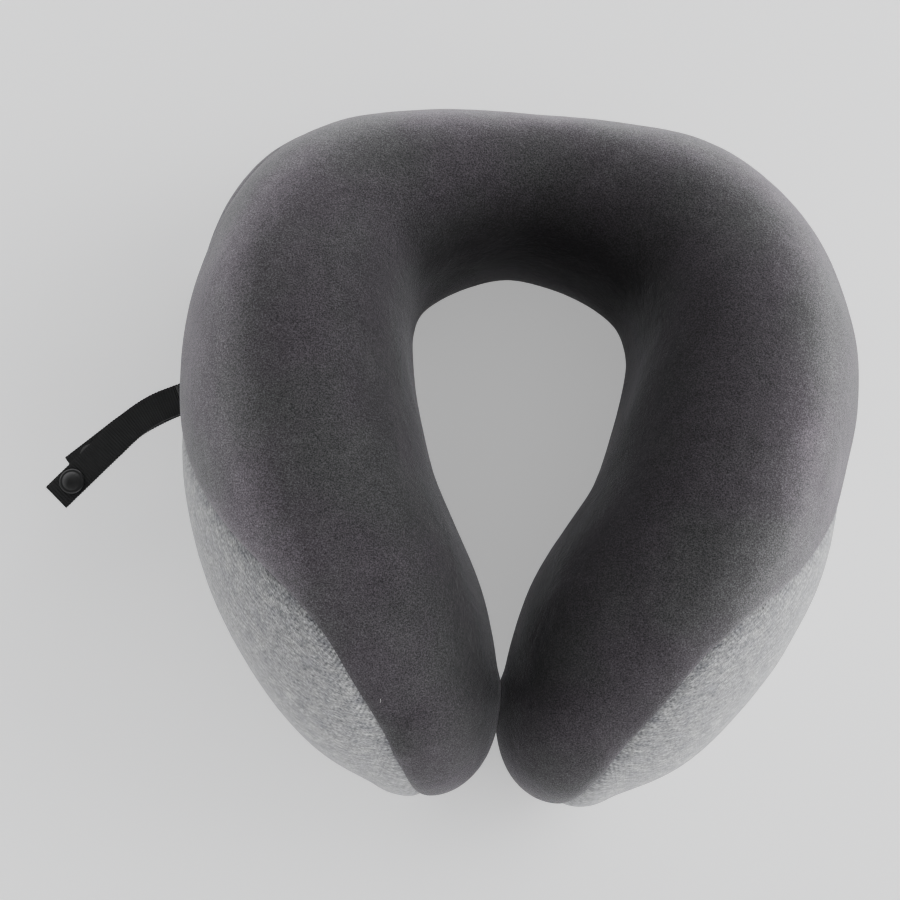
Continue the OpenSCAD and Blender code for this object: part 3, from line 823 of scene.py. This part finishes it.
def care_label():
    """A blank satin ribbon folded double and sewn into the base seam, curling up a little at its fold."""
    _, wall, _ = facing(np.array([LABEL_PLACE]))
    at = skin(LABEL_PLACE, SKIRT + math.radians(5)) * [-1, 1, 1]
    out = np.array([-wall[0, 0], wall[0, 1], 0])
    matrix = (Matrix.Translation((at[0] + out[0] * 0.4 * MM, at[1] + out[1] * 0.4 * MM, 3.2 * MM))
              @ Matrix.Rotation(math.atan2(wall[0, 0], wall[0, 1]), 4, "Z")
              @ Matrix.Rotation(math.radians(14), 4, "X"))
    far, gap = 15.4 * MM, 0.22 * MM
    turn = np.linspace(math.pi / 2, -math.pi / 2, 9)
    over = np.linspace(0, far, 24)
    y = np.concatenate([over, far + gap * np.cos(turn)[1:-1], over[::-1]])
    z = np.concatenate([np.full(24, gap), gap * np.sin(turn)[1:-1], np.full(24, -gap)])
    ny = np.concatenate([np.zeros(24), np.cos(turn)[1:-1], np.zeros(24)])
    nz = np.concatenate([np.ones(24), np.sin(turn)[1:-1], -np.ones(24)])
    x = np.linspace(-9, 9, 13) * MM
    curl = 1.1 * MM * (y / far) ** 2
    wave = 0.35 * MM * np.sin(x / (5 * MM) + 0.6)[None, :] * (y / far)[:, None]
    grid = np.stack(np.broadcast_arrays(x[None, :], y[:, None], (z + curl)[:, None] + wave), -1)
    way = np.stack(np.broadcast_arrays(0 * x[None, :], ny[:, None], nz[:, None]), -1)
    piece = strip("blank_label", grid, way, 0.14 * MM)
    piece.data.transform(matrix)
    return piece


def lint(cover):
    """A few short pale fibres caught in the pile."""
    mesh = cover.data
    tree = BVHTree.FromPolygons([v.co for v in mesh.vertices], [p.vertices[:] for p in mesh.polygons])
    fibres = []
    for u, a in LINT_PLACES:
        side = 1 if u > 0 else -1
        start = Vector(skin(abs(u), math.radians(a)) * [side, 1, 1])
        at, normal, _, _ = tree.find_nearest(start)
        one = normal.orthogonal()
        two = normal.cross(one)
        bend, length = rng.uniform(0.5, 2.2), rng.uniform(0.6, 1.4) * MM
        t = np.linspace(-0.5, 0.5, 9)
        path = [at + one * (length * k) + two * (length * 0.3 * math.sin(bend * 2 * k)) + normal * 0.22 * MM
                for k in t]
        fibres.append(tube("fibre", path, 0.045 * MM, 5))
    return joined("lint", fibres)


def snap_matrix(matrix, tail, flip):
    """Where a tail's snap is; flipped, it is on the underside."""
    length, turn = tail
    x, y, a = way_along(np.array([length - SNAP_BACK]), turn)
    at = matrix @ Matrix.Translation((x[0], y[0], 0)) @ Matrix.Rotation(a[0], 4, "Z")
    return at @ Matrix.Rotation(math.pi, 4, "X") if flip else at


def snap_cap(name, matrix):
    """The pressed cap of a snap: a rolled rim, a shallow ring groove and a low dome."""
    r, back = CAP_R / MM, -STRAP_T / 2 / MM
    rim = [(0.25, 0), (0.06, 0.1), (0, 0.3), (0.05, 0.52), (0.22, 0.7), (0.5, 0.82), (0.85, 0.86),
           (1.05, 0.83), (1.2, 0.8), (1.4, 0.88)]
    dome = [(k, SEAT + 1.9 - 1.02 * (k / (r - 1.4)) ** 2) for k in np.linspace(r - 1.55, 0.3, 9)]
    rolled = [(r - inward, SEAT + high) for inward, high in rim]
    profile = [(0, back), (1.6, back), (1.6, SEAT), *rolled, *dome, (0, SEAT + 1.9)]
    return lathe(name, profile, matrix)


def snap_socket(matrix):
    """The socket half: a flange and a cup with a rolled mouth."""
    profile = [(0, 1.1), (2.1, 1.1), (2.3, 1.3), (2.3, 2.2), (2.45, 2.42), (2.8, 2.5), (3.3, 2.5),
               (3.65, 2.4), (3.8, 2.1), (3.8, 1.0), (3.95, 0.75), (4.4, 0.68), (4.62, 0.55), (4.7, 0.3),
               (4.62, 0.06), (4.4, 0), (0, 0)]
    return lathe("snap_socket_half", [(r, SEAT + z) for r, z in profile], matrix)


def snap_stud(matrix):
    """The stud half: a flange and a button with a rounded head and a narrower neck."""
    profile = [(0, 0), (4.4, 0), (4.62, 0.06), (4.7, 0.3), (4.62, 0.55), (4.4, 0.68), (2.4, 0.72),
               (1.95, 0.85), (1.85, 1.1), (2.0, 1.4), (2.1, 1.65), (2.0, 1.9), (1.7, 2.05), (1.2, 2.1),
               (0.9, 1.95), (0, 1.9)]
    return lathe("snap_stud_half", [(r, SEAT + z) for r, z in profile], matrix)


# ---------------------------------------------------------------- materials

WAVE_PERIOD = math.pi / 10


class Paint:
    """A material and short ways to add nodes to it."""

    def __init__(self, name, **shader):
        self.material = bpy.data.materials.new(name)
        self.material.use_nodes = True
        self.tree = self.material.node_tree
        self.shader = self.tree.nodes["Principled BSDF"]
        for key, value in shader.items():
            self.shader.inputs[key.replace("_", " ")].default_value = value

    def node(self, kind, *values, out=0, **settings):
        made = self.tree.nodes.new("ShaderNode" + kind)
        for key, value in settings.items():
            setattr(made, key, value)
        for key, value in values:
            self.put(made.inputs[key], value)
        return made.outputs[out]

    def put(self, socket, value):
        if isinstance(value, bpy.types.NodeSocket):
            self.tree.links.new(value, socket)
        else:
            socket.default_value = value

    def place(self, turn=(0, 0, 0), scale=(1, 1, 1), flat=False):
        """Object coordinates, or the cloth's own lengths if flat, turned and then scaled."""
        source = (self.node("UVMap", uv_map="cloth") if flat else self.node("TexCoord", out=3))
        turned = self.node("Mapping", ("Vector", source), ("Rotation", turn))
        return self.node("Mapping", ("Vector", turned), ("Scale", scale))

    def noise(self, where, size, detail=2.0, rough=0.5, distort=0.0):
        return self.node("TexNoise", ("Vector", where), ("Scale", 1 / size), ("Detail", detail),
                         ("Roughness", rough), ("Distortion", distort))

    def wave(self, where, size, distort=0.0, **settings):
        return self.node("TexWave", ("Vector", where), ("Scale", WAVE_PERIOD / size),
                         ("Distortion", distort), out=1, **settings)

    def ramp(self, value, *stops):
        """Colours between stops; a stop's colour may be one number, for a grey."""
        made = self.tree.nodes.new("ShaderNodeValToRGB")
        self.put(made.inputs[0], value)
        while len(made.color_ramp.elements) < len(stops):
            made.color_ramp.elements.new(0.5)
        for element, (at, colour) in zip(made.color_ramp.elements, stops):
            element.position = at
            element.color = (*colour, 1) if isinstance(colour, tuple) else (colour, colour, colour, 1)
        return made.outputs[0]

    def times(self, a, b):
        """The product of two colours."""
        made = self.tree.nodes.new("ShaderNodeMix")
        made.data_type = "RGBA"
        made.blend_type = "MULTIPLY"
        self.put(made.inputs[0], 1.0)
        self.put(made.inputs[6], a)
        self.put(made.inputs[7], b)
        return made.outputs[2]

    def maths(self, operation, a, b=0.0):
        return self.node("Math", (0, a), (1, b), operation=operation)

    def bump(self, height, painted_shade_and_sheen, after=None):
        values = [("Height", height), ("Strength", 1.0), ("Distance", painted_shade_and_sheen)]
        if after is not None:
            values.append(("Normal", after))
        return self.node("Bump", *values)

    def finish(self, colour, normal=None, rough=None):
        self.put(self.shader.inputs["Base Color"], colour)
        if normal is not None:
            self.put(self.shader.inputs["Normal"], normal)
        if rough is not None:
            self.put(self.shader.inputs["Roughness"], rough)
        return self.material


def velour():
    """Short warp-knit pile, faintly stroked, with painted shade towards the neck opening and painted sheen
    on the shoulders.
    """
    p = Paint("velour", Roughness=0.95, Sheen_Weight=0.38, Sheen_Roughness=0.38,
              Sheen_Tint=(0.74, 0.73, 0.76, 1), Specular_IOR_Level=0.1)
    where = p.place()
    painted_light_side = p.node("Attribute", attribute_name="painted_light_side", out=2)
    brushed = p.noise(where, 34 * MM, 5, 0.58, 0.6)
    # Painted light: darker towards the neck opening, where the arms shade each other, and palest on the
    # shoulders, where the pile is seen edge-on; the brushed noise stirs it.
    light_side_and_brushing = p.maths("ADD", painted_light_side, p.maths("MULTIPLY", p.maths("SUBTRACT", brushed, 0.5), 0.22))
    painted_shade_and_sheen = p.ramp(p.maths("ADD", p.maths("MULTIPLY", light_side_and_brushing, 0.5), 0.5), (0.05, 0.2), (0.35, 0.72),
                   (0.52, 0.88), (0.66, 1.25), (0.8, 2.3), (0.9, 2.0),
                   (1.0, 1.25))
    strokes = p.noise(p.place((0.3, 0.5, 0.2)), 11 * MM, 4, 0.6, 0.8)
    marks = p.ramp(strokes, (0.3, 0.9), (0.5, 1.0), (0.7, 1.14))
    hue = p.noise(p.place((0.4, 0.2, 1.1)), 45 * MM, 3, 0.5)
    tone = p.ramp(hue, (0.4, (0.0472, 0.0425, 0.0469)), (0.6, (0.0447, 0.0441, 0.0446)))
    pile = p.noise(where, 0.55 * MM, 2, 0.75)
    speck = p.ramp(pile, (0.34, 0.45), (0.5, 0.95), (0.7, (1.95, 1.92, 2.0)))
    colour = p.times(p.times(tone, painted_shade_and_sheen), p.times(speck, marks))
    normal = p.bump(pile, 0.25 * MM)
    normal = p.bump(p.noise(where, 2.4 * MM, 2, 0.5), 0.12 * MM, normal)
    return p.finish(colour, p.bump(brushed, 0.9 * MM, normal))


def jersey():
    """Heather grey single jersey: short light and dark streaks over a fine knit, gathered at its seams."""
    p = Paint("jersey", Roughness=0.9, Sheen_Weight=0.25, Sheen_Roughness=0.5, Specular_IOR_Level=0.15)
    flat = p.place(flat=True)
    fine = p.noise(p.place((0, 0, math.radians(12)), (0.32, 1, 1), True), 0.4 * MM, 3, 0.6)
    long = p.noise(p.place((0, 0, math.radians(-8)), (0.22, 1, 1), True), 1.1 * MM, 3, 0.65)
    tone = p.ramp(fine, (0.32, (0.07, 0.07, 0.073)), (0.44, (0.165, 0.166, 0.169)),
                  (0.56, (0.26, 0.262, 0.265)), (0.68, (0.44, 0.442, 0.445)))
    streaks = p.ramp(long, (0.34, (0.62, 0.62, 0.64)), (0.5, 1.0), (0.66, (1.5, 1.5, 1.48)))
    cloud = p.noise(flat, 6 * MM, 4, 0.55)
    shade = p.ramp(cloud, (0.32, (0.82, 0.82, 0.85)), (0.68, (1.14, 1.14, 1.11)))
    colour = p.times(p.times(tone, streaks), shade)
    loops = p.maths("MULTIPLY", p.wave(flat, 0.9 * MM, 0.6, bands_direction="X"),
                    p.wave(flat, 0.75 * MM, 0.6, bands_direction="Y"))
    seam = p.node("Attribute", attribute_name="seam_near", out=2)
    comb = p.wave(flat, 2.1 * MM, 2.5, bands_direction="X")
    normal = p.bump(p.maths("MULTIPLY", comb, seam), 0.35 * MM)
    normal = p.bump(loops, 0.06 * MM, normal)
    return p.finish(colour, p.bump(long, 0.05 * MM, normal))


def base_cloth():
    """Plain dark tricot of the underside."""
    p = Paint("base_cloth", Roughness=0.92, Sheen_Weight=0.5, Sheen_Roughness=0.4,
              Sheen_Tint=(0.6, 0.6, 0.64, 1), Specular_IOR_Level=0.2)
    where = p.place()
    pile = p.noise(where, 0.6 * MM, 2, 0.7)
    tone = p.ramp(p.noise(where, 30 * MM, 3), (0.3, (0.03, 0.029, 0.032)), (0.7, (0.044, 0.041, 0.046)))
    colour = p.times(tone, p.ramp(pile, (0.3, 0.6), (0.7, (1.5, 1.5, 1.55))))
    return p.finish(colour, p.bump(pile, 0.25 * MM))


def woven(name, level, rib, gloss, across=0.6 * MM):
    """Plain weave: ribs across the strip crossed by warp threads along it."""
    p = Paint(name, Roughness=gloss, Specular_IOR_Level=0.25, Sheen_Weight=0.04)
    flat = p.place(flat=True)
    ribs = p.wave(flat, rib, 0.3, bands_direction="X")
    warp = p.wave(flat, across, 0.3, bands_direction="Y")
    cell = p.maths("ADD", p.maths("MULTIPLY", ribs, 0.6), p.maths("MULTIPLY", warp, 0.4))
    fuzz = p.noise(flat, 0.25 * MM, 2, 0.6)
    colour = p.times(p.ramp(cell, (0.2, level * 0.35), (0.8, (level, level, level * 1.05))),
                     p.ramp(fuzz, (0.3, 0.7), (0.7, 1.3)))
    return p.finish(colour, p.bump(fuzz, 0.08 * MM, p.bump(cell, 0.22 * MM)))


def thread(level):
    p = Paint("thread", Roughness=0.6, Sheen_Weight=0.3)
    twist = p.wave(p.place((0.5, 0.4, 0)), 0.5 * MM, 0.5)
    return p.finish(p.ramp(twist, (0.2, level * 0.6), (0.8, level)), p.bump(twist, 0.05 * MM))


def moulded(name, level, rough):
    """Moulded plastic with a very slight orange peel and handling marks in its gloss."""
    p = Paint(name, Specular_IOR_Level=0.5)
    where = p.place()
    peel = p.noise(where, 0.5 * MM, 2)
    smear = p.noise(where, 3 * MM, 4, 0.6)
    gloss = p.ramp(smear, (0.3, rough * 0.8), (0.7, rough * 1.25))
    colour = p.ramp(smear, (0.3, level * 0.85), (0.7, level * 1.2))
    return p.finish(colour, p.bump(peel, 0.015 * MM), gloss)


def dark_metal():
    """Black enamel over metal, rubbed a little thin on its raised edges."""
    p = Paint("dark_metal", Metallic=0.85)
    where = p.place()
    wear = p.node("NewGeometry", out=7)
    rubbed = p.ramp(wear, (0.5, (0.03, 0.03, 0.033)), (0.56, (0.16, 0.16, 0.165)))
    smear = p.noise(where, 1.2 * MM, 4, 0.6)
    gloss = p.ramp(smear, (0.3, 0.28), (0.7, 0.42))
    return p.finish(rubbed, p.bump(smear, 0.02 * MM), gloss)


def foam_stuff():
    """Open-cell memory foam, cream, with fine pores."""
    p = Paint("foam_stuff", Roughness=0.9, Subsurface_Weight=0.1)
    pores = p.node("TexVoronoi", ("Vector", p.place()), ("Scale", 1 / (1.1 * MM)))
    # The pores are darker than the cell walls: painted shade in their hollows.
    colour = p.ramp(pores, (0.05, (0.55, 0.47, 0.33)), (0.5, (0.82, 0.75, 0.6)))
    return p.finish(colour, p.bump(pores, 0.2 * MM))


def liner_stuff():
    """Thin off-white tricot."""
    p = Paint("liner_stuff", Roughness=0.85)
    flat = p.place(flat=True)
    loops = p.maths("MULTIPLY", p.wave(flat, 1.2 * MM, 0.5, bands_direction="X"),
                    p.wave(flat, 1.2 * MM, 0.5, bands_direction="Y"))
    colour = p.ramp(loops, (0.1, (0.62, 0.62, 0.6)), (0.9, (0.8, 0.8, 0.78)))
    return p.finish(colour, p.bump(loops, 0.1 * MM))


def lint_stuff():
    p = Paint("lint_stuff", Roughness=0.7)
    return p.finish(p.ramp(p.noise(p.place(), 0.4 * MM), (0.3, (0.5, 0.5, 0.48)), (0.7, (0.75, 0.75, 0.72))))


def satin():
    """Blank woven satin label, off-white."""
    p = Paint("satin", Roughness=0.42, Sheen_Weight=0.2)
    flat = p.place(flat=True)
    threads = p.wave(flat, 0.32 * MM, 0.3, bands_direction="Y")
    colour = p.ramp(threads, (0.1, (0.66, 0.66, 0.64)), (0.9, (0.83, 0.83, 0.81)))
    return p.finish(colour, p.bump(threads, 0.05 * MM))


def floor_paint():
    """A white floor that glows a little, so that it renders paler than the lights alone would make it."""
    p = Paint("floor_paint", Roughness=0.9, Emission_Color=(1, 1, 1, 1), Emission_Strength=FLOOR_GLOW)
    cloud = p.noise(p.place(), 1.4, 2)
    return p.finish(p.ramp(cloud, (0.2, 0.9), (0.8, 0.94)))


# ---------------------------------------------------------------- build

def give(piece, material, body, slot, *nodes):
    """Puts a piece's material on it, hangs it on its body and lets it stand for its CAD nodes."""
    piece.data.materials.clear()
    piece.data.materials.append(material)
    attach(piece, body)
    if nodes:
        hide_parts(*nodes)
    return piece


def build_cover(paints):
    body = sewn_body()
    dressed(body)
    looks = {TOP: (paints["velour"], "velour", "cover_top_panel"),
             SIDE_LEFT: (paints["jersey"], "jersey", "cover_side_panel_left"),
             SIDE_RIGHT: (paints["jersey"], "jersey", "cover_side_panel_right"),
             REAR: (paints["velour"], "velour", "cover_rear_panel"),
             BASE: (paints["base"], "velour", "cover_base_panel")}
    for panel, (material, slot, node) in looks.items():
        piece = give(panel_piece(body, panel, COVER_T, PANELS[panel]), material, "pillow", slot, node)
        if panel == TOP:
            give(lint(piece), paints["lint"], "pillow", "velour")
    give(panel_piece(body, BAND, FACING_T, PANELS[BAND], FACING_BACK), paints["base"], "pillow", "velour")
    bpy.data.objects.remove(body)


def build_filling(paints):
    foam = give(filling("foam_block", 6 * MM), paints["foam"], "pillow", "foam", "foam_core")
    liner = give(filling("liner_bag", 5 * MM), paints["liner"], "pillow", "liner_knit", "inner_liner")


def build_zip(paints):
    give(zip_tape("zip_tape_low", -1), paints["tape"], "pillow", "zip_tape", "zipper_tape_lower")
    give(zip_tape("zip_tape_high", 1), paints["tape"], "pillow", "zip_tape", "zipper_tape_upper")
    give(zip_coil("zip_coil_low", -1), paints["plastic"], "pillow", "black_plastic", "zipper_coil_lower")
    give(zip_coil("zip_coil_high", 1), paints["plastic"], "pillow", "black_plastic", "zipper_coil_upper")
    give(zip_stitching(), paints["thread"], "pillow", "zip_tape")
    for side in ("left", "right"):
        stop = softened(f"zipper_stop_{side}", f"zip_stop_{side}", 0.25 * MM)
        give(stop, paints["metal"], "pillow", "dark_metal", f"zipper_stop_{side}")
    slider = softened("zipper_slider", "zip_slider_body", 0.18 * MM)
    give(slider, paints["metal"], "zip_slider", "dark_metal", "zipper_slider")
    pull = softened("zipper_pull", "zip_pull_tab", 0.2 * MM)
    give(pull, paints["metal"], "zip_pull", "dark_metal", "zipper_pull")


def build_sewn_in(paints):
    give(strap_anchor(), paints["webbing"], "pillow", "webbing", "strap_anchor")
    give(bartack(), paints["thread"], "pillow", "webbing")
    give(care_label(), paints["satin"], "pillow", "label_satin", "care_label")


def build_strap(paints):
    webbing, plastic = paints["webbing"], paints["plastic"]
    upper, lower = strap_matrix(STRAP_ROOT, 8), strap_matrix(LOWER_ROOT, 12)
    tail = strap_tail("strap_upper", UPPER_TAIL, upper, 0.5 * MM)
    give(tail, webbing, "upper_tail", "webbing", "strap_tail_upper")
    tail = strap_tail("strap_lower", LOWER_TAIL, lower, -0.4 * MM)
    give(tail, webbing, "lower_tail", "webbing", "strap_tail_lower")
    cap = snap_cap("snap_cap_high", snap_matrix(upper, UPPER_TAIL, False))
    give(cap, plastic, "upper_tail", "black_plastic", "snap_cap_upper")
    cap = snap_cap("snap_cap_low", snap_matrix(lower, LOWER_TAIL, True))
    give(cap, plastic, "lower_tail", "black_plastic", "snap_cap_lower")
    socket = snap_socket(snap_matrix(upper, UPPER_TAIL, True))
    give(socket, plastic, "upper_tail", "black_plastic", "snap_socket")
    stud = snap_stud(snap_matrix(lower, LOWER_TAIL, False))
    give(stud, plastic, "lower_tail", "black_plastic", "snap_stud")


# ---------------------------------------------------------------- stage

# The room's brightness at its sides and overhead, and how much it leans to the right and to the back
SIDE_GLOW, TOP_GLOW, RIGHT_LEAN, BACK_LEAN = 4.4, 0.36, 0.55, 0.2
FLOOR_GLOW, FLOOR_HALF, FLOOR_Z = 0.4, 3.0, -0.3 * MM
# The view: angles in degrees, distance and target in metres, lens and sensor in millimetres
AZIMUTH, ELEVATION, ROLL = -12, 75, 15.65
DISTANCE, TARGET = 1.0, Vector((-0.0259, -0.0326, 0.045))
LENS, SENSOR = 95.88, 36


def set_camera():
    """The photograph's view: from high in front, a little to the left, and rolled."""
    azimuth, elevation, roll = (math.radians(a) for a in (AZIMUTH, ELEVATION, ROLL))
    back = Vector((math.sin(azimuth) * math.cos(elevation), -math.cos(azimuth) * math.cos(elevation),
                   math.sin(elevation)))
    right = Vector((math.cos(azimuth), math.sin(azimuth), 0))
    up = back.cross(right)
    across = right * math.cos(roll) + up * math.sin(roll)
    upright = up * math.cos(roll) - right * math.sin(roll)
    data = bpy.data.cameras.new("camera")
    data.sensor_width, data.lens = SENSOR, LENS
    camera = bpy.data.objects.new("camera", data)
    bpy.context.scene.collection.objects.link(camera)
    matrix = Matrix((across, upright, back)).transposed().to_4x4()
    matrix.translation = TARGET + back * DISTANCE
    camera.matrix_world = matrix
    data.clip_start, data.clip_end = 0.01, 50
    bpy.context.scene.camera = camera


def area_light(name, at, target, size, power):
    data = bpy.data.lights.new(name, "AREA")
    data.shape = "DISK"
    data.size = size
    data.energy = power
    light = bpy.data.objects.new(name, data)
    light.location = at
    light.rotation_euler = (Vector(target) - Vector(at)).to_track_quat("-Z", "Y").to_euler()
    bpy.context.scene.collection.objects.link(light)


def room_light():
    """A white room, bright round the sides and dim overhead, brighter on the right and a little behind."""
    world = bpy.data.worlds.new("room")
    world.use_nodes = True
    tree = world.node_tree

    def node(kind, *values, **settings):
        made = tree.nodes.new("ShaderNode" + kind)
        for key, value in settings.items():
            setattr(made, key, value)
        for key, value in values:
            if isinstance(value, bpy.types.NodeSocket):
                tree.links.new(value, made.inputs[key])
            else:
                made.inputs[key].default_value = value
        return made

    way = node("TexCoord").outputs["Generated"]
    x, y, z = node("SeparateXYZ", ("Vector", way)).outputs
    height = node("MapRange", ("Value", z), ("From Min", 0.25), ("From Max", 0.65), ("To Min", SIDE_GLOW),
                  ("To Max", TOP_GLOW), interpolation_type="SMOOTHSTEP").outputs[0]
    across = node("Math", (0, x), (1, RIGHT_LEAN), (2, 1.0), operation="MULTIPLY_ADD").outputs[0]
    behind = node("Math", (0, y), (1, BACK_LEAN), (2, across), operation="MULTIPLY_ADD").outputs[0]
    strength = node("Math", (0, height), (1, behind), operation="MULTIPLY").outputs[0]
    background = tree.nodes["Background"]
    background.inputs[0].default_value = (0.98, 0.985, 1.0, 1)
    tree.links.new(strength, background.inputs[1])
    bpy.context.scene.world = world


def set_stage():
    """A pale floor, one soft light from the right and behind, and the room."""
    corners = [(x * FLOOR_HALF, y * FLOOR_HALF, FLOOR_Z) for x, y in ((-1, -1), (1, -1), (1, 1), (-1, 1))]
    floor = new_piece("floor", corners, [[0, 1, 2, 3]])
    floor.data.materials.append(floor_paint())
    area_light("key", (1.1, 0.3, 0.75), (0, -0.03, 0.05), 0.9, 7)
    room_light()


def main():
    paints = {
        "velour": velour(), "jersey": jersey(), "base": base_cloth(), "foam": foam_stuff(),
        "liner": liner_stuff(), "webbing": woven("webbing", 0.009, RIB, 0.7),
        "tape": woven("zip_tape", 0.03, 0.7 * MM, 0.8, 0.9 * MM), "thread": thread(0.03),
        "plastic": moulded("black_plastic", 0.006, 0.4), "metal": dark_metal(),
        "satin": satin(), "lint": lint_stuff(),
    }
    build_cover(paints)
    build_filling(paints)
    build_zip(paints)
    build_strap(paints)
    build_sewn_in(paints)
    set_camera()
    set_stage()


main()
